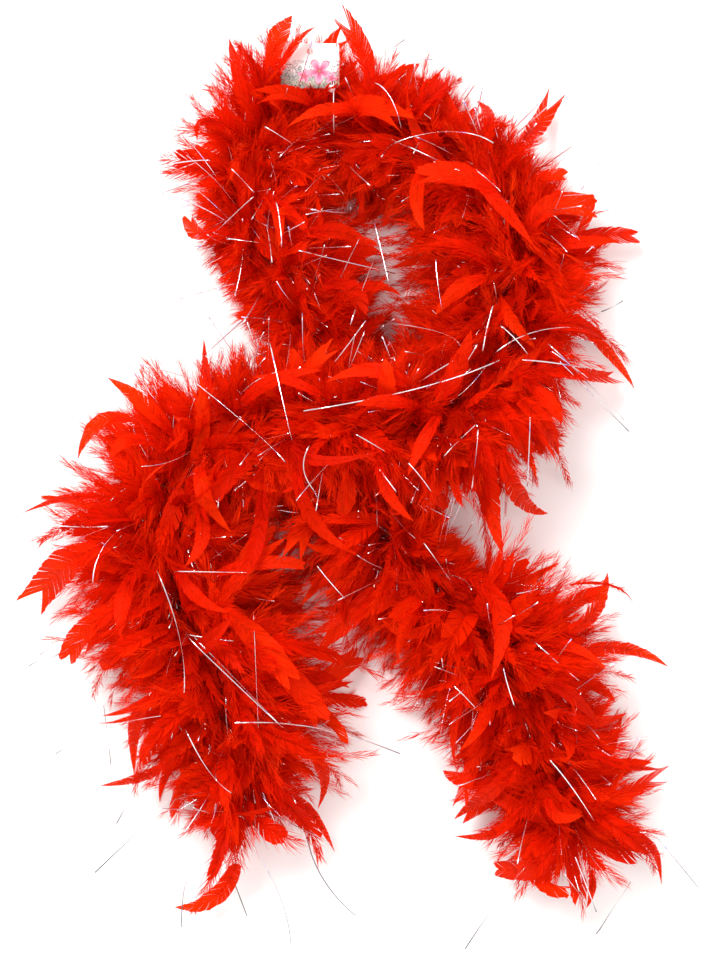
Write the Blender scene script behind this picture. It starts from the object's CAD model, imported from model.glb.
"""Feather boa: every feather, tinsel strand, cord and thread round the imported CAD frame."""
import math

import bpy
import numpy as np
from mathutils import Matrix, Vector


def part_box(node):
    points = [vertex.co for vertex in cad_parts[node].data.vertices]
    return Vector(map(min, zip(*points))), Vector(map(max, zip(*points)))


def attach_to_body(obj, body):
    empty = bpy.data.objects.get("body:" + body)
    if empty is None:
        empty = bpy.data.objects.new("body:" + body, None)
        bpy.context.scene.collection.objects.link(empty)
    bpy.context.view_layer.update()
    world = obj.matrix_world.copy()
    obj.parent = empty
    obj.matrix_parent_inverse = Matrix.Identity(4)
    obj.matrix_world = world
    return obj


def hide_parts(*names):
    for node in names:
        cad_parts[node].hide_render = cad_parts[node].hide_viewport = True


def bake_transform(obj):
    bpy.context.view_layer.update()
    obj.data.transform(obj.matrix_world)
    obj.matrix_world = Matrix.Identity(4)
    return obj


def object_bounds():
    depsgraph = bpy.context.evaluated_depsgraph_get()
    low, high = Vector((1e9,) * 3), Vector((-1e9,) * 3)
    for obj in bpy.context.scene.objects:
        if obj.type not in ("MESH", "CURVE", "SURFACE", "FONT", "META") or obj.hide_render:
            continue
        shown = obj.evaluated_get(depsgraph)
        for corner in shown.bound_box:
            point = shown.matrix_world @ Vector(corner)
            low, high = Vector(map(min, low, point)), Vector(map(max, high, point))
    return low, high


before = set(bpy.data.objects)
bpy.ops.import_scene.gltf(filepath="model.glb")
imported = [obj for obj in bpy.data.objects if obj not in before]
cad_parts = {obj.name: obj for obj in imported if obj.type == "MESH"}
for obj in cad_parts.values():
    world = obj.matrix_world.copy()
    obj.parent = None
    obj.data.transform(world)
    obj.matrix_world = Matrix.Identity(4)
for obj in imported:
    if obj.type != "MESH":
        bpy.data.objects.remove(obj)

MM = 0.001
CAD_BOX = np.array([list(corner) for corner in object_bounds()])

# The cord's route in millimetres: x, y and the height of the cord
ROUTE = np.array([
    (-98, -290, 42), (-108, -222, 42), (-130, -152, 42), (-158, -85, 42), (-175, -15, 42),
    (-135, 50, 50), (-70, 75, 76.5), (0, 65, 88), (70, 70, 76.5), (115, 115, 50),
    (145, 170, 42), (150, 235, 42), (120, 290, 42), (60, 322, 42), (-20, 335, 42),
    (-70, 328, 42), (-100, 288, 42), (-92, 235, 42), (-62, 180, 42), (-30, 130, 42),
    (-5, 75, 28), (15, 15, 42), (50, -50, 42), (98, -105, 42), (140, -165, 42),
    (168, -230, 42), (195, -302, 42),
], float) * MM
LAST = len(ROUTE) - 1
CORD_D = 3.0 * MM

# Each stretch of cord: name, body, first and last place of the route
STRETCHES = [
    ("left_tail", "left_tail", 0, 1),
    ("left_leg", "left_leg", 1, 3),
    ("pile_over", "pile", 3, 11),
    ("loop", "loop", 11, 17),
    ("pile_under", "pile", 17, 22),
    ("right_leg", "right_leg", 22, 24),
    ("right_tail", "right_tail", 24, 26),
]
BODY_OF = {i: body for name, body, a, b in STRETCHES for i in range(a, b)}
BODIES = list(dict.fromkeys(BODY_OF.values()))
FIRST_OF = {body: min(i for i in BODY_OF if BODY_OF[i] == body) for body in BODIES}

# Where the boa bends: place of the route, the body before, the body after
BENDS = [
    (1, "left_tail", "left_leg"),
    (3, "left_leg", "pile"),
    (11, "pile", "loop"),
    (17, "loop", "pile"),
    (22, "pile", "right_leg"),
    (24, "right_leg", "right_tail"),
]
FLOOR_Z = 0.5 * MM         # nothing is lower than this
TOP_Z = 158 * MM           # and nothing is higher than this
UP = np.array([0, 0, 1.0])
DOWN = np.array([0, 0, -1.0])
cross = np.cross


# ---------------------------------------------------------------- small helpers
def unit(v):
    return v / np.maximum(np.linalg.norm(v, axis=-1, keepdims=True), 1e-12)


def smooth_route(steps=40):
    """The route as one smooth curve through its points, with its places as numbers."""
    p = np.vstack([2 * ROUTE[0] - ROUTE[1], ROUTE, 2 * ROUTE[-1] - ROUTE[-2]])
    t = np.linspace(0, 1, steps, endpoint=False)[:, None]
    line = []
    for i in range(1, len(p) - 2):
        a, b, c, d = p[i - 1], p[i], p[i + 1], p[i + 2]
        line.append(0.5 * (2 * b + (c - a) * t + (2 * a - 5 * b + 4 * c - d) * t**2
                           + (3 * b - a - 3 * c + d) * t**3))
    line.append(ROUTE[-1:])
    return np.vstack(line), np.linspace(0, LAST, LAST * steps + 1)


LINE, PLACES = smooth_route()


def cord_at(place):
    """Point and direction of the cord at places of the route, as floats."""
    place = np.asarray(place, float)

    def at(place):
        return np.stack([np.interp(place, PLACES, LINE[:, k]) for k in range(3)], -1)

    return at(place), unit(at(place + 0.05) - at(place - 0.05))


def make_mesh(name, verts, faces, material, uv=None):
    """A smooth-shaded object from an array of points and an array of four-cornered faces."""
    me = bpy.data.meshes.new(name)
    verts = np.asarray(verts, np.float32).reshape(-1, 3)
    faces = np.asarray(faces, np.int32).reshape(-1, 4)
    me.vertices.add(len(verts))
    me.vertices.foreach_set("co", verts.ravel())
    me.loops.add(faces.size)
    me.loops.foreach_set("vertex_index", faces.ravel())
    me.polygons.add(len(faces))
    me.polygons.foreach_set("loop_start", np.arange(0, faces.size, 4, dtype=np.int32))
    me.polygons.foreach_set("use_smooth", np.ones(len(faces), bool))
    me.update(calc_edges=True)
    if uv is not None:
        layer = me.uv_layers.new(name="OFBake")
        layer.uv.foreach_set("vector", np.asarray(uv, np.float32)[faces.ravel()].ravel())
    me.materials.append(material)
    obj = bpy.data.objects.new(name, me)
    bpy.context.scene.collection.objects.link(obj)
    return obj


def repeated(faces, pieces, points):
    """The faces of one piece, repeated for many pieces that have so many points each."""
    return (faces[None] + np.arange(pieces)[:, None, None] * points).reshape(-1, 4)


class Build:
    """Collects points, faces and map places of many small pieces into one mesh."""

    def __init__(self):
        self.verts, self.faces, self.uvs, self.count = [], [], [], 0

    def add(self, verts, faces, uv):
        """verts (pieces, points, 3), faces (faces, 4) for one piece, uv (pieces, points, 2)."""
        n, m = verts.shape[:2]
        self.verts.append(verts.reshape(-1, 3))
        self.faces.append(repeated(faces, n, m) + self.count)
        self.uvs.append(uv.reshape(-1, 2))
        self.count += n * m

    def mesh(self, name, material):
        verts = np.vstack(self.verts)
        verts[:, 2] = np.clip(verts[:, 2], FLOOR_Z, TOP_Z)
        return make_mesh(name, verts, np.vstack(self.faces), material, np.vstack(self.uvs))


def strip_faces(rows, across):
    """Faces of a grid of points, rows by across."""
    return np.array([
        (r * across + c, r * across + c + 1, (r + 1) * across + c + 1, (r + 1) * across + c)
        for r in range(rows - 1) for c in range(across - 1)])


def tube_faces(rings, sides):
    """Side faces of a tube of rings, without its ends."""
    return np.array([
        (r * sides + k, r * sides + (k + 1) % sides,
         (r + 1) * sides + (k + 1) % sides, (r + 1) * sides + k)
        for r in range(rings - 1) for k in range(sides)])


def closed_tube_faces(rings, sides):
    """Side faces and both ends, each end as four-cornered faces across an even ring."""
    faces = [tube_faces(rings, sides)]
    for start, turn in ((0, 1), ((rings - 1) * sides, -1)):
        for k in range(sides // 2 - 1):
            quad = [start + k, start + sides - 1 - k, start + sides - 2 - k, start + k + 1]
            faces.append(np.array([quad[::turn]]))
    return np.vstack(faces)


def rings_round(centres, radius, side, normal, sides):
    """Rings of points round a line of centres. radius is a number or fits (rings, sides, 1)."""
    angle = np.arange(sides)[:, None] * 2 * np.pi / sides
    return centres[:, None] + radius * (np.cos(angle) * side[..., None, :]
                                        + np.sin(angle) * normal[..., None, :])


# ---------------------------------------------------------------- materials
class Look:
    """A material in the making, with short ways to add and join its nodes."""

    def __init__(self, name):
        self.material = bpy.data.materials.new(name)
        self.material.use_nodes = True
        self.nodes = self.material.node_tree.nodes
        self.shader = self.nodes["Principled BSDF"]

    def fill(self, node, inputs):
        """Sets a node's inputs, by name or number, to values or to other nodes' outputs."""
        for key, value in dict(inputs).items():
            socket = node.inputs[key]
            if isinstance(value, bpy.types.NodeSocket):
                self.material.node_tree.links.new(value, socket)
            else:
                socket.default_value = (*value, 1) if socket.type == "RGBA" else value

    def node(self, kind, inputs=(), out=0, **settings):
        """Adds a node and gives one of its outputs."""
        node = self.nodes.new("ShaderNode" + kind)
        for key, value in settings.items():
            setattr(node, key, value)
        self.fill(node, inputs)
        return node.outputs[out]

    def calc(self, operation, *values):
        return self.node("Math", enumerate(values), operation=operation)

    def parts(self, vector):
        return self.node("SeparateXYZ", {0: vector}).node.outputs[:]

    def ramp(self, factor, *stops):
        """A colour ramp over stops of a place and a colour, or a place and a grey level."""
        out = self.node("ValToRGB", {0: factor})
        elements = out.node.color_ramp.elements
        while len(elements) < len(stops):
            elements.new(0.5)
        for element, (place, colour) in zip(elements, stops):
            element.position = place
            element.color = (*(colour if isinstance(colour, tuple) else (colour,) * 3), 1)
        return out

    def mix(self, factor, a, b, kind="MULTIPLY"):
        return self.node("Mix", {0: factor, 6: a, 7: b}, 2, data_type="RGBA", blend_type=kind)

    def bump(self, height, strength, distance):
        return self.node("Bump", {"Strength": strength, "Distance": distance, "Height": height})


TILES = 4
TILE_EDGE = 0.06


def feather_material(root, middle, tip, through):
    """Dyed feather. Its map has one tile for each tint: across a tile from the rachis to the
    barb's tip, and up it from the quill to the feather's tip."""
    look = Look("feather_vane")
    place = look.node("UVMap", uv_map="OFBake")
    grown = look.node("VectorMath", {0: place, "Scale": TILES}, operation="SCALE")
    tile = look.node("VectorMath", {0: grown}, operation="FLOOR")
    tint = look.node("TexWhiteNoise", {"Vector": tile}, "Value", noise_dimensions="2D")
    across, along, _ = look.parts(look.node("VectorMath", {0: grown}, operation="FRACTION"))
    body = look.ramp(along, (0.05, root), (0.42, middle), (0.92, tip))
    # barbs: fine streaks that run out from the rachis
    stretch = look.node("Mapping", {"Scale": (5, 190, 1), "Vector": place})
    streaks = look.node("TexNoise", {"Vector": stretch, "Scale": 1.0, "Detail": 3.0})
    barred = look.ramp(streaks, (0.3, (0.62, 0.5, 0.5)), (0.5, (0.95, 0.9, 0.9)), (0.68, 1))
    body = look.mix(0.8, body, barred)
    # the web is a little darker beside the rachis
    body = look.mix(1.0, body, look.ramp(across, (0.0, (0.78, 0.6, 0.6)), (0.12, 1), (1.0, 1)))
    body = look.mix(1.0, body, look.ramp(tint, (0.0, (0.72, 0.5, 0.5)), (0.5, (0.95, 1, 1)),
                                         (1.0, (1, 1.5, 1.2))))
    look.fill(look.shader, {
        "Base Color": body, "Roughness": look.ramp(streaks, (0.3, 0.7), (0.7, 0.5)),
        "Specular IOR Level": 0.04, "Normal": look.bump(streaks, 0.25, 0.0003)})
    glow = look.node("BsdfTranslucent", {"Color": body})
    both = look.node("MixShader", {0: through, 1: look.shader.outputs[0], 2: glow})
    look.fill(look.nodes["Material Output"], {"Surface": both})
    return look.material


def tinsel_material():
    """Metallised film with a faint violet and blue shift along each strand."""
    look = Look("tinsel_film")
    place = look.node("TexCoord", out="Object")
    noise = look.node("TexNoise", {"Vector": place, "Scale": 90.0, "Detail": 2.0})
    tint = look.ramp(noise, (0.30, (0.55, 0.50, 0.95)), (0.42, (0.86, 0.86, 0.90)),
                     (0.58, 0.92), (0.70, (0.92, 0.62, 0.86)))
    # a strand out on the pale surface is seen mostly by its dark side
    level = look.calc("DIVIDE", look.parts(place)[2], 60 * MM)
    side = look.ramp(level, (0.45, (0.10, 0.10, 0.11)), (0.85, 1))
    look.fill(look.shader, {"Base Color": look.mix(1.0, tint, side), "Metallic": 1.0,
                            "Roughness": look.ramp(noise, (0.35, 0.12), (0.65, 0.3))})
    return look.material


def thread_material(name, dark, light, turns):
    """Twisted dyed thread: fine slanting plies over a matt base."""
    look = Look(name)
    wave = look.node("TexWave", {"Vector": look.node("TexCoord", out="Object"), "Scale": turns,
                                 "Distortion": 2.0, "Detail": 2.0}, 1, bands_direction="DIAGONAL")
    look.fill(look.shader, {
        "Base Color": look.ramp(wave, (0.2, dark), (0.8, light)), "Roughness": 0.8,
        "Specular IOR Level": 0.2, "Normal": look.bump(wave, 0.4, 0.0002)})
    return look.material


def nylon_material():
    """Milky nylon filament."""
    look = Look("nylon_milky")
    noise = look.node("TexNoise", {"Vector": look.node("TexCoord", out="Object"), "Scale": 400.0})
    look.fill(look.shader, {
        "Base Color": look.ramp(noise, (0.3, (0.80, 0.81, 0.80)), (0.7, (0.93, 0.93, 0.92))),
        "Roughness": look.ramp(noise, (0.3, 0.18), (0.7, 0.32)),
        "Subsurface Weight": 0.2, "Subsurface Radius": (0.002, 0.002, 0.002)})
    return look.material


# The card's flowers: centre across and up, and size, as shares of the card, and a turn in radians
FLOWERS = [(0.66, 0.38, 0.30, 0.4), (0.40, 0.27, 0.17, 1.1), (0.87, 0.22, 0.15, 0.0)]
PETALS = 5


def card_material(low, high):
    """Coated card with paper grain, printed flowers and a soft band of hills, and no text."""
    look = Look("card_printed")
    calc = look.calc
    place = look.node("TexCoord", out="Object")
    x, y, _ = look.parts(place)
    width = high[0] - low[0]
    height = high[1] - low[1]
    across = calc("DIVIDE", calc("SUBTRACT", x, low[0]), width)
    up = calc("DIVIDE", calc("SUBTRACT", y, low[1]), height)
    grain = look.node("TexNoise", {"Vector": place, "Scale": 900.0, "Detail": 4.0})
    inked = look.ramp(grain, (0.3, (0.84, 0.83, 0.80)), (0.7, (0.93, 0.92, 0.90)))
    # rolling hills in pale green and grey along the near edge
    hills = look.node("TexNoise", {"W": across, "Scale": 5.0}, noise_dimensions="1D")
    crest = calc("MULTIPLY", hills, 0.72)
    shade = look.ramp(calc("DIVIDE", up, crest), (0.0, (0.10, 0.06, 0.03)),
                      (0.35, (0.28, 0.26, 0.14)), (0.7, (0.30, 0.34, 0.32)),
                      (1.0, (0.62, 0.66, 0.66)))
    band = calc("MULTIPLY", calc("LESS_THAN", up, crest), 0.8)
    inked = look.mix(band, inked, shade, "MIX")
    # dark strokes of grass over the lower part
    grass = look.node("TexNoise", {"Vector": place, "Scale": 200.0, "Detail": 1.0,
                                   "Distortion": 3.0})
    strokes = look.ramp(grass, (0.43, 1), (0.45, 0.03), (0.52, 0.03), (0.54, 1))
    lower = calc("MULTIPLY", calc("LESS_THAN", up, 0.62), 0.85)
    inked = look.mix(lower, inked, look.mix(1.0, inked, strokes), "MIX")
    # the flowers: petals by the angle round the middle of each
    for centre_x, centre_y, size, turn in FLOWERS:
        dx = calc("MULTIPLY", calc("SUBTRACT", across, centre_x), width / height)
        dy = calc("SUBTRACT", up, centre_y)
        radius = calc("SQRT", calc("ADD", calc("MULTIPLY", dx, dx), calc("MULTIPLY", dy, dy)))
        angle = calc("ADD", calc("ARCTAN2", dy, dx), turn)
        lobe = calc("ABSOLUTE", calc("COSINE", calc("MULTIPLY", angle, PETALS / 2)))
        rim = calc("ADD", calc("MULTIPLY", lobe, 0.62 * size), 0.38 * size)
        share = calc("DIVIDE", radius, rim)
        petal = look.ramp(share, (0.0, (0.45, 0.20, 0.02)), (0.16, (0.35, 0.01, 0.06)),
                          (0.45, (0.70, 0.10, 0.22)), (0.86, (0.80, 0.32, 0.42)),
                          (1.0, (0.25, 0.02, 0.06)))
        inked = look.mix(calc("LESS_THAN", share, 1.0), inked, petal, "MIX")
    look.fill(look.shader, {"Base Color": inked, "Normal": look.bump(grain, 0.15, 0.0001),
                            "Roughness": look.ramp(grain, (0.3, 0.35), (0.7, 0.5))})
    return look.material


FEATHER = feather_material((0.74, 0.007, 0.0), (0.90, 0.014, 0.0), (0.97, 0.026, 0.001), 0.45)
TINSEL = tinsel_material()
CORD = thread_material("cord_cotton", (0.16, 0.002, 0.001), (0.40, 0.006, 0.003), 500.0)
THREAD = thread_material("thread_red", (0.28, 0.004, 0.002), (0.62, 0.014, 0.006), 1800.0)
NYLON = nylon_material()


# ---------------------------------------------------------------- camera, floor and light
VIEW_CENTRE = (3.5 * MM, 15.5 * MM)
VIEW_HEIGHT = 864 * MM
VIEW_LEVEL = 60 * MM       # the height at which the view is VIEW_HEIGHT tall
CAMERA_RISE = 1.9


def camera():
    data = bpy.data.cameras.new("camera")
    data.sensor_fit = "VERTICAL"
    data.sensor_height = 36
    data.lens = 36 * CAMERA_RISE / VIEW_HEIGHT
    data.clip_end = 20
    obj = bpy.data.objects.new("camera", data)
    obj.location = (*VIEW_CENTRE, VIEW_LEVEL + CAMERA_RISE)
    bpy.context.scene.collection.objects.link(obj)
    bpy.context.scene.camera = obj


def area_light(name, place, size, power):
    """A round light that points at the origin."""
    data = bpy.data.lights.new(name, "AREA")
    data.shape = "DISK"
    data.size = size
    data.energy = power
    obj = bpy.data.objects.new(name, data)
    obj.location = place
    ahead = unit(-np.array(place, float))
    obj.rotation_euler = (math.acos(-ahead[2]), 0, math.atan2(-ahead[0], ahead[1]))
    bpy.context.scene.collection.objects.link(obj)


def studio():
    world = bpy.data.worlds.new("studio")
    world.use_nodes = True
    back = world.node_tree.nodes["Background"]
    back.inputs[0].default_value = (1.0, 0.99, 0.98, 1)
    back.inputs[1].default_value = 0.88
    bpy.context.scene.world = world
    area_light("key", (-0.9, 1.1, 2.0), 1.1, 56)
    area_light("fill", (1.2, -0.4, 2.4), 1.6, 20)
    look = Look("floor_pale")
    look.fill(look.shader, {"Base Color": (0.93, 0.922, 0.912), "Roughness": 0.7,
                            "Specular IOR Level": 0.1})
    side = 4.0
    corners = [(-side, -side, 0), (side, -side, 0), (side, side, 0), (-side, side, 0)]
    floor = make_mesh("floor", corners, [(0, 1, 2, 3)], look.material)
    bpy.context.scene.view_settings.view_transform = "Standard"


camera()
studio()


# ---------------------------------------------------------------- the core cord
CORD_PLIES = 3
CORD_LAY = 14 * MM         # one whole turn of the plies
CORD_STATIONS = 36         # rings of the rope between two places of the route
KNOT_LENGTH = 9 * MM


def framed(line):
    """Sides and normals along a line of points, with no sudden turn."""
    ahead = unit(np.gradient(line, axis=0))
    side = np.empty_like(line)
    side[0] = unit(cross(ahead[0], UP + 1e-6))
    for k in range(1, len(line)):
        side[k] = unit(side[k - 1] - ahead[k] * (side[k - 1] @ ahead[k]))
    return side, cross(ahead, side)


def twisted_rope(name, line, diameter, plies, lay, material):
    """A rope of several plies round a line, its outline turning once in every lay."""
    sides = 12
    side, normal = framed(line)
    run = np.concatenate([[0], np.cumsum(np.linalg.norm(np.diff(line, axis=0), axis=1))])
    angle = np.arange(sides) * 2 * np.pi / sides
    turn = run[:, None] * 2 * np.pi / lay
    radius = diameter / 2 * (0.84 + 0.16 * np.abs(np.cos((angle[None] - turn) * plies / 2)))
    points = rings_round(line, radius[..., None], side, normal, sides)
    return make_mesh(name, points, closed_tube_faces(len(line), sides), material)


def core_cords():
    """Each stretch of the cord as a rope of its own, which meets the next at a bend."""
    for name, body, a, b in STRETCHES:
        knot = KNOTS.get(name)
        count = (b - a) * CORD_STATIONS + (3 if knot else 0)
        line = cord_at(np.linspace(a, b, count))[0]
        if a == 0:
            line = np.vstack([line[0] - unit(line[1] - line[0]) * KNOT_LENGTH, line])
        if b == LAST:
            line = np.vstack([line, line[-1] + unit(line[-1] - line[-2]) * KNOT_LENGTH])
        rope = twisted_rope("cord_" + name, line, CORD_D, CORD_PLIES, CORD_LAY, CORD)
        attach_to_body(rope, body)
        if name == "left_tail":
            line = line[::-1]
        if a == FIRST_OF[body]:
            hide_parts("core_" + body)


def helix(start, ahead, turns, radius, length, per_turn, wire):
    """A wound thread as a tube: radius may be a function of the share along it."""
    count = int(turns * per_turn) + 1
    share = np.linspace(0, 1, count)
    side = unit(cross(ahead, UP))
    normal = cross(ahead, side)
    angle = share * turns * 2 * np.pi
    reach = radius(share)[:, None]
    axis = start + ahead * (share * length)[:, None]
    line = axis + reach * (np.cos(angle)[:, None] * side + np.sin(angle)[:, None] * normal)
    out = unit(line - axis)
    flat = cross(unit(np.gradient(line, axis=0)), out)
    return rings_round(line, wire, out, flat, 4)


def bindings():
    """Three wound bands of thread on every stretch between two places of the route."""
    wire, turns, length = 0.42 * MM, 9, 6 * MM
    for body in BODIES:
        bands = []
        spans = [i for i in BODY_OF if BODY_OF[i] == body]
        for place in [i + share for i in spans for share in (0.25, 0.5, 0.75)]:
            point, ahead = cord_at(place)
            coil = helix(point - ahead * length / 2, ahead, turns,
                         lambda s: np.full(len(s), CORD_D / 2 + wire * 0.8), length, 10, wire)
            bands.append(coil.reshape(-1, 3))
        bands = np.array(bands)
        faces = repeated(closed_tube_faces(bands.shape[1] // 4, 4), *bands.shape[:2])
        obj = make_mesh("binding_thread_" + body, bands, faces, THREAD)
        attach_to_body(obj, body)
        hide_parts("binding_" + body)


def end_knot(name, node, body, point, ahead):
    """A whipped end: thread wound over the cord in a small barrel."""
    length, wire, turns = KNOT_LENGTH, 0.55 * MM, 10

    def barrel(share):
        return (2.4 + 2.1 * np.sin(np.pi * (0.12 + 0.76 * share))) * MM

    coil = helix(point, ahead, turns, barrel, length, 16, wire)
    sides, rings = 12, 9
    share = np.linspace(0, 1, rings)
    side = unit(cross(ahead, UP))
    normal = cross(ahead, side)
    fill = rings_round(point + ahead * (share * length)[:, None],
                       (barrel(share) - 0.1 * MM)[:, None, None], side, normal, sides)
    faces = np.vstack([closed_tube_faces(len(coil), 4),
                       closed_tube_faces(rings, sides) + coil.size // 3])
    obj = make_mesh(name, np.vstack([coil.reshape(-1, 3), fill.reshape(-1, 3)]), faces, THREAD)
    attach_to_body(obj, body)
    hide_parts(node)
    return obj


def knots():
    first, first_way = cord_at(0)
    final, final_way = cord_at(LAST)
    return {
        "left_tail": end_knot("knot_left", "end_knot_left", "left_tail", first, -first_way),
        "right_tail": end_knot("knot_right", "end_knot_right", "right_tail", final, final_way),
    }


KNOTS = knots()
core_cords()
bindings()


# ---------------------------------------------------------------- feathers
SPINE = 14                 # stations along each feather's rachis
SPINE_FLOOR = FLOOR_Z * 3
SPINE_TOP = TOP_Z - 12 * MM
BARB_FLOOR = FLOOR_Z * 1.6


def grow_spines(base, ahead, broad, length, curl, bow, droop):
    """Walks each feather's spine from its quill. curl turns it in its own plane, bow out of it,
    and droop pulls it down. A spine that meets the surface lies along it. Returns points,
    directions and the broad side's direction, each (feathers, SPINE, 3)."""
    step = length / (SPINE - 1)
    points = [base]
    ways = [unit(ahead)]
    sides = [unit(broad - ways[0] * (broad * ways[0]).sum(-1, keepdims=True))]
    for k in range(SPINE - 1):
        way, side = ways[-1], sides[-1]
        up = cross(way, side)
        share = (k + 1) / SPINE
        way = way + (side * (curl * share)[:, None] + up * bow[:, None]
                     + DOWN * (droop * share)[:, None]) * (1.0 / SPINE)
        way = unit(way)
        # nothing dives under the surface or grows past the top of the pile
        lowest = (SPINE_FLOOR - points[-1][:, 2]) / step
        highest = (SPINE_TOP - points[-1][:, 2]) / step
        way[:, 2] = np.clip(way[:, 2], np.maximum(lowest, -1), np.minimum(np.maximum(highest, -1), 1))
        flat = np.sqrt(np.maximum(1 - way[:, 2] ** 2, 1e-6)) / np.maximum(
            np.linalg.norm(way[:, :2], axis=1), 1e-6)
        way[:, :2] *= flat[:, None]
        side = unit(side - way * (side * way).sum(-1, keepdims=True))
        points.append(points[-1] + way * step[:, None])
        ways.append(way)
        sides.append(side)
    return tuple(np.stack(x, 1) for x in (points, ways, sides))


def pick(stations, share):
    """Values of (feathers, SPINE, 3) stations at shares (feathers, many) along each."""
    at = np.clip(share, 0, 1) * (SPINE - 1)
    low = np.minimum(at.astype(int), SPINE - 2)
    rest = (at - low)[..., None]
    rows = np.arange(len(stations))[:, None]
    return stations[rows, low] * (1 - rest) + stations[rows, low + 1] * rest


def on_map(tile, across, along):
    """Places on the feather's map. tile (feathers,), across and along (feathers, ...)."""
    grow = (1 - 2 * TILE_EDGE)
    shape = (len(tile),) + (1,) * (across.ndim - 1)
    column, row = (tile % TILES).reshape(shape), (tile // TILES).reshape(shape)
    return np.stack([(column + TILE_EDGE + grow * np.clip(across, 0, 1)) / TILES,
                     (row + TILE_EDGE + grow * np.clip(along, 0, 1)) / TILES], -1)


def add_rachis(build, spines, tile, thick):
    """The thin shaft of each feather, three-sided, tapering to its tip."""
    points, ways, sides = spines
    ups = cross(ways, sides)
    taper = np.linspace(1, 0.12, SPINE)[None, :, None] * thick[:, None, None]
    rings = []
    for k in range(3):
        a = k * 2 * np.pi / 3
        rings.append(points + taper * (math.cos(a) * sides + math.sin(a) * ups))
    verts = np.stack(rings, 2).reshape(len(points), -1, 3)
    along = np.broadcast_to(np.linspace(0, 1, SPINE)[None, :, None], (len(points), SPINE, 3))
    across = np.broadcast_to(np.array([0.0, 0.012, 0.024])[None, None], along.shape)
    uv = on_map(tile, across, along).reshape(len(points), -1, 2)
    build.add(verts, tube_faces(SPINE, 3), uv)


def add_barbs(build, rng, spines, tile, count, first, final, reach, slant, thick, spread, rows_of=4):
    """Downy barbs: ribbons that leave the rachis on both sides and sweep towards its tip.
    reach (feathers,) is the longest barb, slant the angles at the quill and at the tip."""
    n = len(tile)
    share = first + (final - first) * (np.arange(count)[None] + rng.uniform(0, 1, (n, count))) / count
    root, way, side = (pick(x, share) for x in spines)
    up = cross(way, side)
    hand = np.where(np.arange(count) % 2 == 0, 1.0, -1.0)[None]
    rest = (share - first) / (final - first)
    swell = np.clip(np.minimum(0.45 + 2.2 * rest, 1.0) * (1 - 0.45 * rest**2), 0.2, 1)
    length = reach[:, None] * swell * rng.uniform(0.62, 1.12, share.shape)
    angle = np.radians(slant[0] + (slant[1] - slant[0]) * rest) * rng.uniform(0.7, 1.25, share.shape)
    tilt = rng.normal(0, spread, share.shape)
    out = side * (hand * np.cos(tilt))[..., None] + up * np.sin(tilt)[..., None]
    steps = rows_of - 1
    wave = rng.normal(0, 0.12, (*share.shape, steps, 3))
    across_dir = unit(cross(way, out) + rng.normal(0, 0.5, way.shape))
    rows, at = [], root
    widths = (1.0, 0.9, 0.55, 0.12) if rows_of == 4 else (1.0, 0.75, 0.12)
    for k in range(rows_of):
        if k:
            bend = angle * (1.05 - 0.55 * (k - 1) / (steps - 1))
            go = way * np.cos(bend)[..., None] + out * np.sin(bend)[..., None] + wave[..., k - 1, :]
            go = unit(go + DOWN * 0.15 * k / steps)
            at = at + go * (length / steps)[..., None]
        ribbon = unit(cross(across_dir, out if k == 0 else go)) * (thick * widths[k] / 2)
        low = np.maximum(at[..., 2:], BARB_FLOOR)
        at = np.concatenate([at[..., :2], low], -1)
        rows.append(np.stack([at - ribbon, at + ribbon], -2))
    verts = np.stack(rows, 2).reshape(-1, rows_of * 2, 3)
    across = np.linspace(0.02, 1, rows_of)[:, None] * (length / reach[:, None])[..., None, None]
    across = np.broadcast_to(across, (n, count, rows_of, 2))
    lean = np.array([-1, 1]) * np.array(widths)[:, None] * 0.006
    along = share[..., None, None] + lean[None, None]
    uv = on_map(tile, across, along).reshape(-1, rows_of * 2, 2)
    build.add(verts, strip_faces(rows_of, 2), uv)


def vane_width(rest, form):
    """Share of the full width along the vane. form 0 is pointed, 1 rounded, 2 cut square."""
    rise = np.clip(0.5 + 1.5 * rest, 0, 1)
    pointed = rise * np.clip(1 - rest**1.7, 0.03, 1)
    rounded = rise * np.sqrt(np.clip(1 - rest**5, 0.01, 1))
    square = rise * np.clip(1.05 - 0.15 * rest, 0.1, 1)
    return np.where(form == 0, pointed, np.where(form == 1, rounded, square))


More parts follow.
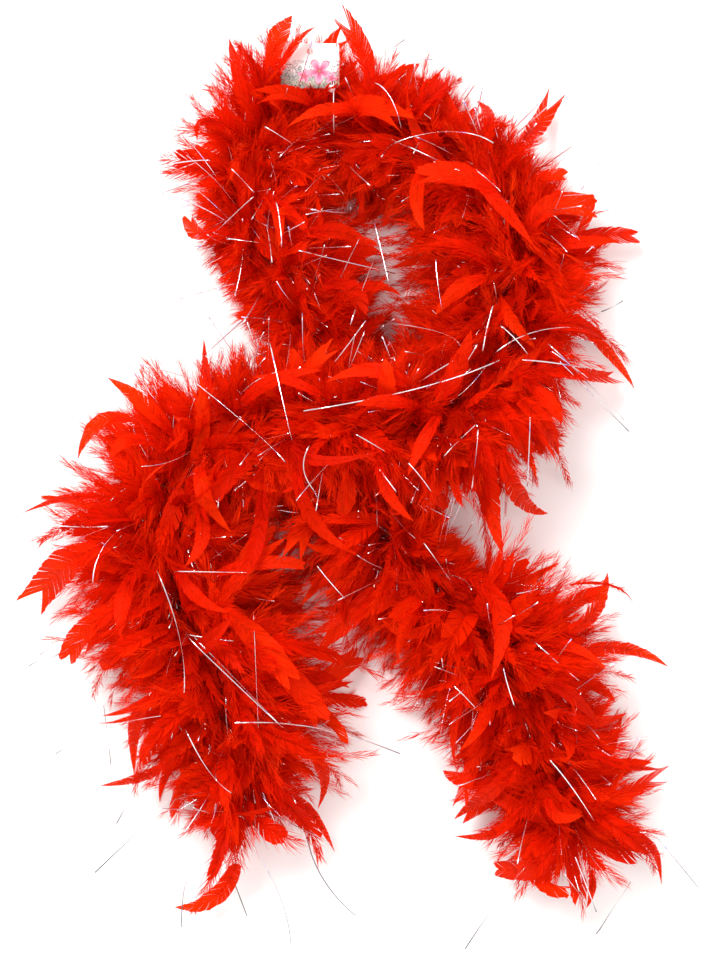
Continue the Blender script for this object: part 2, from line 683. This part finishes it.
def add_vanes(build, rng, spines, tile, count, first, width, form, fold, splits, final=1.0):
    """The smooth web on both sides of the rachis, as slanting bundles of joined barbs."""
    n = len(tile)
    edges = np.linspace(0, 1, count + 1)
    for hand in (-1.0, 1.0):
        jitter = rng.uniform(-0.12, 0.12, (n, count + 1)) / count
        rest = np.clip(edges[None] + jitter, 0, 1)
        starts, ends = rest[:, :-1], rest[:, 1:]
        split = rng.uniform(0, 1, (n, count)) < splits
        gap = np.where(split, rng.uniform(0.25, 0.6, (n, count)), rng.uniform(0.0, 0.05, (n, count)))
        ruffle = rng.normal(0, 0.05, (n, count))
        uneven = rng.uniform(0.92, 1.05, (n, count, 2))
        columns = []
        for k, part in enumerate((starts, ends)):
            share = first[:, None] + (final - first[:, None]) * part
            root, way, side = (pick(x, share) for x in spines)
            up = cross(way, side)
            web = width[:, None] / 2 * vane_width(part, form[:, None]) * uneven[..., k]
            slant = np.radians(58 - 34 * part)
            barb = web / np.maximum(np.sin(slant), 0.35)
            go = side * (hand * np.sin(slant))[..., None] + way * np.cos(slant)[..., None]
            rows = []
            for j, reach in enumerate((0.0, 0.36, 0.7, 1.0)):
                lift = (fold[:, None] * web * (reach - 0.35 * reach**2) + web * ruffle * reach**2)
                sweep = way * (barb * 0.16 * reach**2)[..., None]
                # the gap opens towards the edge: both sides of a bundle close in
                close = (1 if k == 0 else -1) * gap * reach * (final - first[:, None]) / count
                shift = way * (close * feather_length(spines)[:, None] * 0.5)[..., None]
                at = root + go * (barb * reach)[..., None] + up * lift[..., None] + sweep + shift
                rows.append(at)
            columns.append(np.stack(rows, 2))
        verts = np.stack(columns, 3).reshape(-1, 8, 3)
        across = np.broadcast_to(np.array([0.02, 0.36, 0.7, 1.0])[:, None], (n, count, 4, 2))
        along = np.stack([starts, ends], -1) * (final - first[:, None, None]) + first[:, None, None]
        along = np.broadcast_to(along[:, :, None, :], (n, count, 4, 2))
        uv = on_map(tile, across, along).reshape(-1, 8, 2)
        faces = strip_faces(4, 2)
        build.add(verts, faces if hand > 0 else faces[:, ::-1], uv)


def feather_length(spines):
    return np.linalg.norm(np.diff(spines[0], axis=1), axis=2).sum(1)


def add_plumes(build, rng, spines, tile, width, form, first, fold):
    """Whole plumes: rachis, downy lower part and smooth upper part."""
    n = len(tile)
    add_rachis(build, spines, tile, rng.uniform(0.35, 0.5, n) * MM)
    add_barbs(build, rng, spines, tile, 44, 0.06, 0.56, width * rng.uniform(0.85, 1.25, n),
              (56, 34), 0.60 * MM, 0.5)
    add_vanes(build, rng, spines, tile, 15, first, width, form, fold, 0.06)


def add_marabou(build, rng, spines, tile, reach):
    """Downy feathers: a soft narrow web, with loose barbs from quill to tip."""
    n = len(tile)
    add_rachis(build, spines, tile, rng.uniform(0.22, 0.34, n) * MM)
    add_barbs(build, rng, spines, tile, 78, 0.10, 0.995, reach, (40, 10), 0.78 * MM, 0.45, 3)
    add_vanes(build, rng, spines, tile, 7,
              rng.uniform(0.10, 0.25, n), reach * rng.uniform(0.4, 0.85, n),
              rng.choice(2, n, p=(0.8, 0.2)), rng.normal(0.2, 0.3, n), 0.45, 0.76)


# What each stretch between two places of the route carries: how far its feathers reach to the
# left and to the right of the way it runs, in millimetres, how far they lean along the cord in
# degrees, and how dense they are
CARRIES = [
    (68, 62, 22, 0.9), (114, 132, -18, 1.0), (126, 136, -18, 1.0), (122, 112, -8, 1.0),
    (98, 112, 2, 1.0), (62, 92, 10, 1.0), (70, 90, 8, 1.0), (78, 84, 4, 1.0),
    (88, 118, -4, 1.0), (112, 102, -14, 1.0), (134, 90, 4, 1.0), (134, 56, 8, 0.9),
    (98, 48, 6, 0.9), (86, 78, 0, 0.9), (80, 98, -8, 0.8), (84, 90, -38, 1.1),
    (98, 44, -8, 0.9), (104, 44, 0, 0.9), (96, 48, 0, 0.9), (66, 60, 0, 0.7),
    (54, 102, 4, 0.8), (44, 120, 10, 1.1), (44, 114, 16, 1.1), (116, 110, 18, 1.0),
    (82, 82, 22, 1.0), (94, 90, 0, 1.0),
]
DOWNY_COUNT = 168
PLUME_COUNT = 10
UNDER = (19, 20)     # the stretches that pass under the other strand


def launch(rng, i, count, low, high):
    """Quills spread round the cord on stretch i: base points, directions, broad sides, how far
    each may reach and how steeply it stands."""
    left, right, lean = CARRIES[i][:3]
    place = i + (np.arange(count) + rng.uniform(0.1, 0.9, count)) / count
    point, along = cord_at(place)
    out = unit(cross(along, UP))
    hand = np.where(rng.permutation(count) % 2 == 0, 1.0, -1.0)
    rise = np.radians(rng.uniform(low, high, count))
    radial = out * (hand * np.cos(rise))[:, None] - DOWN * np.sin(rise)[:, None]
    # the steep ones lie down along the cord, either way
    wide = (np.degrees(np.maximum(rise, 0)) * 0.5 * np.sign(rng.uniform(-0.7, 1.3, count))
            * np.sign(lean + 0.01))
    tilt = np.radians(np.clip(rng.normal(lean + wide, 24), -78, 78))
    ahead = unit(radial * np.cos(tilt)[:, None] + along * np.sin(tilt)[:, None])
    base = point + radial * CORD_D * 0.7
    level = unit(cross(ahead, UP) + 1e-9)
    up = cross(level, ahead)
    roll = np.radians(rng.normal(0, 34, count))
    broad = level * np.cos(roll)[:, None] + up * np.sin(roll)[:, None]
    return base, ahead, broad, np.where(hand > 0, right, left) * MM, np.maximum(rise, 0)


def stretch_of_feathers(i):
    """All the feathers whose quills are tied between places i and i + 1 of the route."""
    rng = np.random.default_rng(1000 + i)
    dense = CARRIES[i][3]
    under = i in UNDER
    build = Build()
    count = int(DOWNY_COUNT * dense)
    base, ahead, broad, reach, rise = launch(rng, i, count, -50, 30 if under else 80)
    length = reach * rng.uniform(0.62, 1.0, count)
    spines = grow_spines(base, ahead, broad, length, rng.normal(0, 0.8, count),
                         rng.normal(0, 0.6, count), rng.uniform(0.5, 1.3, count) + 1.9 * np.sin(rise))
    add_marabou(build, rng, spines, rng.integers(0, TILES * TILES, count),
                rng.uniform(18, 34, count) * MM)
    count = int(PLUME_COUNT * dense)
    base, ahead, broad, reach, rise = launch(rng, i, count, -25, 24 if under else 72)
    length = reach * rng.uniform(0.85, 1.14, count)
    spines = grow_spines(base, ahead, broad, length, rng.normal(0, 1.7, count),
                         rng.normal(0, 0.9, count), rng.uniform(0.4, 1.2, count) + 1.5 * np.sin(rise))
    form = rng.choice(3, count, p=(0.74, 0.18, 0.08))
    add_plumes(build, rng, spines, rng.integers(0, TILES * TILES, count),
               rng.uniform(11, 22, count) * MM, form, rng.uniform(0.30, 0.50, count),
               rng.normal(0.10, 0.18, count))
    return build


def attach(obj, i):
    """Makes a piece of stretch i ride its body, or bend with the joint next to it."""
    for place, before, after in BENDS:
        if i in (place - 1, place):
            point, along = cord_at(place)
            if place in (11, 17):
                along = np.array([0, 1.0 if place == 11 else -1.0, 0])
            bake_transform(obj)
            return
    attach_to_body(obj, BODY_OF[i])


# Plumes that stand out by themselves, in millimetres: the stretch that carries each, then the
# points its spine starts from, bends towards and ends at, its width, the outline of its tip
# (0 pointed, 1 rounded, 2 cut square) and the share of it that is downy
LONE_PLUMES = [
    # left leg and its tail
    (4, (-150, 30), (-225, 110), (-250, 35), 17, 0, 0.40),
    (4, (-150, 30), (-200, 70), (-215, 35), 16, 0, 0.5),
    (3, (-175, -10), (-240, 15), (-305, -15), 9, 0, 0.55),
    (3, (-170, -30), (-240, -35), (-285, -85), 30, 2, 0.5),
    (2, (-160, -85), (-235, -95), (-255, -140), 20, 1, 0.5),
    (5, (-110, 60), (-135, 100), (-140, 145), 9, 0, 0.5),
    (1, (-120, -190), (-180, -260), (-235, -265), 14, 0, 0.5),
    (0, (-105, -235), (-90, -380), (-165, -375), 24, 0, 0.55),
    (0, (-100, -230), (-50, -260), (-20, -325), 12, 0, 0.6),
    (1, (-110, -190), (-5, -215), (-35, -285), 14, 0, 0.55),
    (2, (-140, -110), (-60, -140), (-35, -190), 24, 1, 0.45),
    (2, (-150, -70), (-100, -105), (-60, -155), 26, 1, 0.35),
    (1, (-130, -150), (-205, -160), (-200, -250), 16, 0, 0.5),
    (5, (-90, 70), (-65, -30), (-115, -90), 22, 0, 0.35),
    (3, (-165, -30), (-160, -90), (-110, -100), 15, 0, 0.3),
    (6, (-50, 70), (-65, -20), (0, -50), 17, 0, 0.3),
    (6, (-60, 70), (-65, 15), (20, 40), 12, 0, 0.3),
    (6, (0, 65), (-50, 110), (-90, 105), 11, 0, 0.3),
    (4, (-150, 20), (-120, -30), (-150, -60), 16, 0, 0.3),
    (3, (-170, -40), (-210, -70), (-205, -120), 18, 0, 0.4),
    # the middle
    (8, (70, 70), (30, 130), (-25, 100), 17, 0, 0.3),
    (7, (50, 70), (85, 90), (100, 145), 24, 0, 0.3),
    (7, (65, 70), (40, 90), (0, 80), 15, 0, 0.3),
    (8, (85, 90), (60, 60), (45, 20), 15, 0, 0.3),
    (8, (105, 100), (105, 30), (130, -50), 26, 0, 0.35),
    (8, (110, 100), (125, -10), (175, -15), 20, 0, 0.4),
    (9, (120, 115), (180, 110), (230, 110), 17, 2, 0.5),
    (9, (140, 160), (225, 160), (255, 100), 13, 0, 0.5),
    (9, (120, 120), (165, 100), (180, 65), 18, 0, 0.4),
    (5, (-120, 55), (-90, 110), (-30, 110), 15, 0, 0.3),
    (7, (20, 65), (10, 10), (50, -20), 14, 0, 0.35),
    (5, (-130, 55), (-150, 10), (-110, -30), 18, 0, 0.3),
    # right leg and its tail
    (22, (60, -65), (155, -65), (120, -160), 24, 0, 0.35),
    (22, (90, -100), (240, -55), (255, -100), 6, 0, 0.7),
    (23, (110, -120), (225, -135), (230, -70), 20, 0, 0.6),
    (23, (125, -140), (235, -120), (285, -155), 16, 0, 0.6),
    (24, (140, -170), (205, -210), (245, -195), 13, 0, 0.5),
    (24, (155, -195), (220, -240), (275, -245), 13, 0, 0.5),
    (24, (160, -215), (130, -250), (90, -295), 18, 0, 0.4),
    (25, (170, -235), (140, -305), (90, -310), 11, 0, 0.4),
    (25, (185, -270), (180, -335), (130, -340), 20, 1, 0.5),
    (25, (190, -290), (225, -350), (210, -375), 9, 0, 0.6),
    (25, (190, -275), (275, -290), (280, -355), 10, 0, 0.55),
    (23, (120, -140), (75, -190), (90, -245), 12, 0, 0.5),
    (25, (170, -240), (160, -290), (200, -280), 14, 0, 0.3),
    (23, (125, -145), (185, -160), (215, -200), 16, 0, 0.4),
    # the loop
    (15, (-85, 330), (-78, 395), (-58, 435), 22, 0, 0.5),
    (15, (-85, 335), (-66, 400), (-36, 418), 14, 0, 0.5),
    (13, (10, 330), (20, 385), (-5, 415), 20, 2, 0.7),
    (12, (100, 300), (130, 335), (110, 360), 12, 0, 0.45),
    (11, (120, 285), (160, 325), (175, 355), 18, 2, 0.65),
    (16, (-95, 245), (-145, 225), (-150, 250), 14, 1, 0.45),
    (13, (15, 330), (-10, 360), (-60, 325), 17, 0, 0.3),
    (10, (150, 205), (150, 270), (205, 260), 26, 1, 0.35),
    (11, (150, 240), (110, 290), (65, 280), 26, 1, 0.35),
    (12, (65, 320), (120, 260), (155, 220), 15, 0, 0.35),
    (16, (-100, 270), (-60, 260), (-40, 230), 13, 0, 0.35),
    (18, (-55, 170), (-15, 205), (0, 170), 24, 1, 0.35),
    (18, (-40, 150), (10, 205), (40, 180), 14, 0, 0.35),
    (15, (-85, 310), (-145, 350), (-140, 315), 8, 0, 0.5),
    (12, (80, 315), (40, 280), (60, 235), 16, 0, 0.35),
    (10, (145, 190), (95, 200), (70, 160), 18, 0, 0.35),
    (17, (-80, 215), (-20, 250), (10, 225), 18, 0, 0.35),
]
# Downy tufts that fill out the outline, in the same terms
LONE_TUFTS = [
    (23, (125, -140), (190, -140), (250, -165)), (9, (140, 150), (215, 165), (245, 130)),
    (2, (-140, -110), (-215, -120), (-240, -180)), (0, (-105, -245), (-120, -330), (-145, -375)),
    (9, (120, 110), (175, 60), (195, 15)), (8, (110, 100), (150, 50), (160, 15)),
    (2, (-140, -120), (-40, -120), (15, -160)), (3, (-170, -20), (-250, -10), (-285, -40)),
    (10, (145, 190), (90, 235), (35, 215)), (0, (-88, -240), (-45, -290), (-35, -325)),
    (8, (95, 95), (110, 20), (118, -50)), (1, (-120, -170), (-190, -200), (-200, -265)),
    (1, (-112, -200), (-30, -210), (-15, -260)), (15, (-75, 330), (-85, 385), (-105, 405)),
    (13, (40, 325), (70, 365), (95, 382)), (25, (190, -270), (260, -300), (272, -340)),
]
LONE_PLUMES += [(*tuft, 18, 0, 0.85) for tuft in LONE_TUFTS]
TUFT_FROM = 0.8            # a lone plume that is more downy than this is a tuft
TUFT_BARB = 30 * MM
CELL = 6 * MM              # of the grid of heights
GRID_EDGE = 60 * MM
CARD_BOX = np.array([list(corner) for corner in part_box("hang_card")])
CARD_COVER = 12 * MM       # how far above the card a plume that crosses it lies
CARD_GAP = 0.8 * MM


def heights_of(builds):
    """How high the feathers stand over each cell of the surface, from their own points."""
    points = np.vstack([np.vstack(build.verts) for build in builds])
    low = CAD_BOX[0] - GRID_EDGE
    shape = ((CAD_BOX[1] + GRID_EDGE - low)[:2] / CELL).astype(int) + 1
    cell = np.clip(((points[:, :2] - low[:2]) / CELL).astype(int), 0, shape - 1)
    grid = np.zeros(shape)
    np.maximum.at(grid, (cell[:, 0], cell[:, 1]), points[:, 2])
    # the card counts as ground, with a few cells more on every side
    first, final = ((CARD_BOX[:, :2] - low[:2]) / CELL).astype(int)
    grid[first[0] - 3:final[0] + 4, first[1] - 2:final[1] + 5] = CARD_BOX[1, 2] + CARD_COVER
    for _ in range(2):
        padded = np.pad(grid, 1, mode="edge")
        grid = sum(padded[a:a + shape[0], b:b + shape[1]] for a in range(3) for b in range(3)) / 9

    def height(place):
        at = np.clip(((place - low[:2]) / CELL).astype(int), 0, shape - 1)
        return grid[at[..., 0], at[..., 1]]

    return height


def add_lone_plumes(builds, height):
    """Plumes along a bent line, laid over the feathers that are already there."""
    share = np.linspace(0, 1, SPINE)[:, None]
    for k, (i, start, bend, end, width, form, downy) in enumerate(LONE_PLUMES):
        rng = np.random.default_rng(9000 + k)
        start, bend, end = (np.array(p, float) * MM for p in (start, bend, end))
        flat = (1 - share) ** 2 * start + 2 * share * (1 - share) * bend + share**2 * end
        over = height(flat)
        quill = np.interp(i + 0.5, range(LAST + 1), ROUTE[:, 2])
        free = 26 * MM + 8 * MM * rng.uniform(-1, 1)
        rise = np.maximum(np.minimum(over, TOP_Z) + 3 * MM, free)
        rise = np.convolve(np.pad(rise, 2, mode="edge"), np.ones(5) / 5, "valid")
        lift = np.clip(share[:, 0] / 0.35, 0, 1)
        z = quill + (rise - quill) * lift * lift * (3 - 2 * lift)
        points = np.column_stack([flat, z])
        ways = unit(np.gradient(points, axis=0))
        level = unit(cross(ways, UP))
        up = cross(level, ways)
        roll = math.radians(rng.normal(0, 16)) + share * math.radians(rng.normal(0, 22))
        sides = level * np.cos(roll) + up * np.sin(roll)
        spines = tuple(x[None] for x in (points, ways, sides))
        tile = rng.integers(0, TILES * TILES, 1)
        one = np.array([1.0])
        add_rachis(builds[i], spines, tile, one * 0.5 * MM)
        if downy > TUFT_FROM:
            for around in (-1, 0, 1):
                sides = unit(spines[2] + cross(spines[1], spines[2]) * around * 0.8)
                add_marabou(builds[i], rng, (*spines[:2], sides), tile, one * TUFT_BARB)
            continue
        add_barbs(builds[i], rng, spines, tile, int(60 + 110 * downy), 0.06, downy + 0.10,
                  one * max(width, 16) * 1.3 * MM, (44, 24), 0.75 * MM, 0.5)
        add_vanes(builds[i], rng, spines, tile, 18, one * min(downy, 0.42), one * width * MM,
                  np.array([form]), one * 0.08, 0.0)


def keep_under_card(builds):
    """Presses down the feathers that would grow through the card from below."""
    low, high = CARD_BOX
    for build in builds:
        for verts in build.verts:
            inside = np.all((verts[:, :2] > low[:2] - MM) & (verts[:, :2] < high[:2] + MM), axis=1)
            verts[inside, 2] = np.minimum(verts[inside, 2], low[2] - CARD_GAP)


BUILDS = [stretch_of_feathers(i) for i in range(LAST)]
keep_under_card(BUILDS)
HEIGHT = heights_of(BUILDS)
add_lone_plumes(BUILDS, HEIGHT)


def all_feathers():
    for i, build in enumerate(BUILDS):
        obj = build.mesh("feathers_%02d" % (i + 1), FEATHER)
        attach(obj, i)
        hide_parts("ruff_%02d" % (i + 1))
        if i == FIRST_OF[BODY_OF[i]]:
            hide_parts("plumes_" + BODY_OF[i])


all_feathers()


# ---------------------------------------------------------------- tinsel
# Strands that lie over the feathers, in millimetres: the points each passes through
LAID_TINSEL = [
    # the middle
    [(-45, 75), (55, 95), (125, 120)], [(20, 155), (70, 145), (90, 130)], [(-75, 135), (-55, 50)],
    [(-140, 100), (-85, 55), (-60, 30)], [(70, 210), (75, 165)], [(15, 250), (30, 185)],
    [(-5, 150), (20, 220)], [(-50, 215), (-20, 210), (35, 200)], [(150, 70), (150, 10)],
    [(75, 35), (105, 65)], [(105, 60), (100, 5)], [(110, 125), (120, 170)], [(145, 120), (200, 115)],
    [(120, 125), (155, 145), (200, 150)], [(-40, 45), (-45, 25), (-35, 5)], [(0, 55), (25, 40)],
    [(20, 25), (35, 5)], [(45, 30), (65, 5)], [(125, 150), (150, 125)], [(170, 130), (210, 105)],
    # the loop
    [(30, 310), (80, 320), (120, 310)], [(45, 310), (90, 285)], [(15, 365), (30, 350), (40, 320)],
    [(-80, 325), (-55, 310)], [(-70, 260), (-65, 220)], [(-115, 230), (-85, 225)],
    [(-40, 255), (-5, 255)],
    [(-45, 250), (0, 260)], [(30, 405), (45, 420)], [(40, 390), (70, 400)], [(170, 255), (200, 230)],
    [(225, 205), (245, 200)], [(225, 170), (245, 180)], [(-110, 290), (-90, 270)],
    [(-145, 225), (-90, 265)], [(-70, 190), (-55, 170)], [(105, 285), (125, 265)],
    [(-170, 300), (-130, 300)],
    [(170, 135), (245, 70)], [(180, 120), (250, 60)],
    # left edge, left leg and its tail
    [(-195, 120), (-145, 105)], [(-135, 165), (-110, 130)], [(-270, -25), (-215, -25)],
    [(-280, -50), (-215, -25)], [(-300, -155), (-240, -125)], [(-290, -145), (-240, -115)],
    [(-230, -75), (-225, -50), (-210, -30)], [(-175, -65), (-155, -120), (-150, -170)],
    [(-160, -65), (-95, -65)], [(-35, -60), (-10, -90)], [(-90, -100), (-85, -200)],
    [(-150, -120), (-105, -125)], [(-150, -120), (-60, -205)], [(-145, -120), (-65, -200)],
    [(-105, -195), (-35, -205), (40, -235)], [(-275, -235), (-220, -205), (-170, -190)],
    [(-230, -190), (-225, -245)], [(-240, -345), (-165, -270)], [(-220, -300), (-200, -260)],
    [(-160, -395), (-155, -350), (-140, -300)], [(-95, -310), (-70, -360), (-60, -410)],
    [(-45, -310), (-30, -350), (0, -385)], [(-115, -340), (-100, -385)],
    [(-150, -205), (-130, -240), (-110, -260)],
    # right leg and its tail
    [(155, -125), (195, -160)], [(130, -150), (140, -185)], [(140, -85), (160, -80)],
    [(170, -230), (190, -255), (210, -285)], [(85, -165), (105, -185)],
    [(100, -415), (125, -370), (150, -330)], [(185, -335), (210, -370)], [(195, -320), (220, -380)],
    [(220, -400), (250, -350)], [(270, -305), (315, -360)], [(60, -40), (85, -75)],
]


STRAND_RINGS = 13
STRAND_WIDTH = 1.0 * MM
STRAND_THICK = 0.12 * MM
LOOSE_COUNT = 26


def laid_strands():
    """The strands that lie over the feathers, each with the stretch that its root is tied to."""
    share = np.linspace(0, 1, STRAND_RINGS)
    lines, roots = [], []
    middles = cord_at(np.arange(LAST) + 0.5)[0][:, :2]
    for k, points in enumerate(LAID_TINSEL):
        rng = np.random.default_rng(7000 + k)
        points = np.array(points, float) * MM
        if len(points) == 2:
            middle = points.mean(0) + rng.normal(0, 1.2, 2) * MM
        else:
            middle = 2 * points[1] - (points[0] + points[2]) / 2
        flat = (((1 - share) ** 2)[:, None] * points[0] + (2 * share * (1 - share))[:, None] * middle
                + (share**2)[:, None] * points[-1])
        over = np.maximum(HEIGHT(flat) + 2 * MM, 22 * MM)
        straight = over[0] + (over[-1] - over[0]) * share
        hump = np.minimum(4 * share * (1 - share) + 0.55, 1)
        rise = straight + 0.75 * np.max(np.maximum(over - straight, 0)) * hump
        lines.append(np.column_stack([flat, np.minimum(rise, TOP_Z)]))
        apart = np.minimum(np.linalg.norm(middles - flat[0], axis=1),
                           np.linalg.norm(middles - flat[-1], axis=1))
        roots.append(int(np.argmin(apart)))
    return np.array(lines), np.array(roots)


def film(lines, twist, width, thick):
    """Flat strands along lines of points, turning as they go. twist is (first, whole turn)."""
    rings = lines.shape[1]
    share = np.linspace(0, 1, rings)[None, :, None]
    ahead = unit(np.gradient(lines, axis=1))
    side = unit(cross(ahead, UP) + 1e-9)
    up = cross(side, ahead)
    turn = twist[0][:, None, None] + twist[1][:, None, None] * share
    broad = side * np.cos(turn) + up * np.sin(turn)
    flat = cross(ahead, broad)
    corners = [lines + broad * (sx * width / 2) + flat * (sy * thick / 2)
               for sx, sy in ((-1, -1), (1, -1), (1, 1), (-1, 1))]
    return np.stack(corners, 2).reshape(len(lines), rings * 4, 3), closed_tube_faces(rings, 4)


def loose_strands(i):
    """Strands that stand out of the feathers of stretch i at random."""
    rng = np.random.default_rng(5000 + i)
    count = LOOSE_COUNT
    point, along = cord_at(i + rng.uniform(0, 1, count))
    out = unit(cross(along, UP))
    hand = rng.choice((-1.0, 1.0), count)
    rise = np.radians(rng.uniform(5, 78, count))
    radial = out * (hand * np.cos(rise))[:, None] - DOWN * np.sin(rise)[:, None]
    tilt = np.radians(rng.normal(CARRIES[i][2], 45, count))
    ahead = radial * np.cos(tilt)[:, None] + along * np.sin(tilt)[:, None]
    start = point + radial * 12 * MM
    end = start + ahead * (rng.uniform(45, 95, count) * MM)[:, None]
    end[:, 2] = np.clip(end[:, 2], 6 * MM, 128 * MM)
    share = np.linspace(0, 1, STRAND_RINGS)[None, :, None]
    bow = out * (rng.normal(0, 4, count) * MM)[:, None]
    return start[:, None] + (end - start)[:, None] * share + bow[:, None] * 4 * share * (1 - share)


def all_tinsel():
    laid, roots = laid_strands()
    for i in range(LAST):
        rng = np.random.default_rng(6000 + i)
        lines = np.vstack([loose_strands(i), laid[roots == i]])
        twist = rng.uniform(-0.5, 0.5, len(lines)), rng.normal(0, 1.6, len(lines))
        verts, faces = film(lines, twist, STRAND_WIDTH, STRAND_THICK)
        verts[..., 2] = np.maximum(verts[..., 2], FLOOR_Z)
        faces = repeated(faces, *verts.shape[:2])
        obj = make_mesh("tinsel_%02d" % (i + 1), verts, faces, TINSEL)
        attach(obj, i)
        if i == FIRST_OF[BODY_OF[i]]:
            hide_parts("tinsel_" + BODY_OF[i])


all_tinsel()


# ---------------------------------------------------------------- card and its fastener
def card_and_ring():
    for node, material in (("hang_card", card_material(*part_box("hang_card"))),
                           ("card_fastener", NYLON)):
        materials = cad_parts[node].data.materials
        materials.clear()
        materials.append(material)


def fastener_knob():
    """The white knob at the end of the nylon filament, over the card's lower right corner."""
    place = np.array([-22 * MM, 364 * MM, CARD_BOX[1, 2] + 3.5 * MM])
    rings, sides, radius = 9, 16, 3.5 * MM
    angle = np.linspace(0.06, np.pi - 0.06, rings)[:, None]
    turn = np.arange(sides)[None] * 2 * np.pi / sides
    knob = np.stack([np.sin(angle) * np.cos(turn), np.sin(angle) * np.sin(turn),
                     0.75 * np.cos(angle) * np.ones_like(turn)], -1)
    obj = make_mesh("fastener_knob", place + radius * knob,
                    closed_tube_faces(rings, sides)[:, ::-1], NYLON)
    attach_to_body(obj, "loop")


card_and_ring()
fastener_knob()
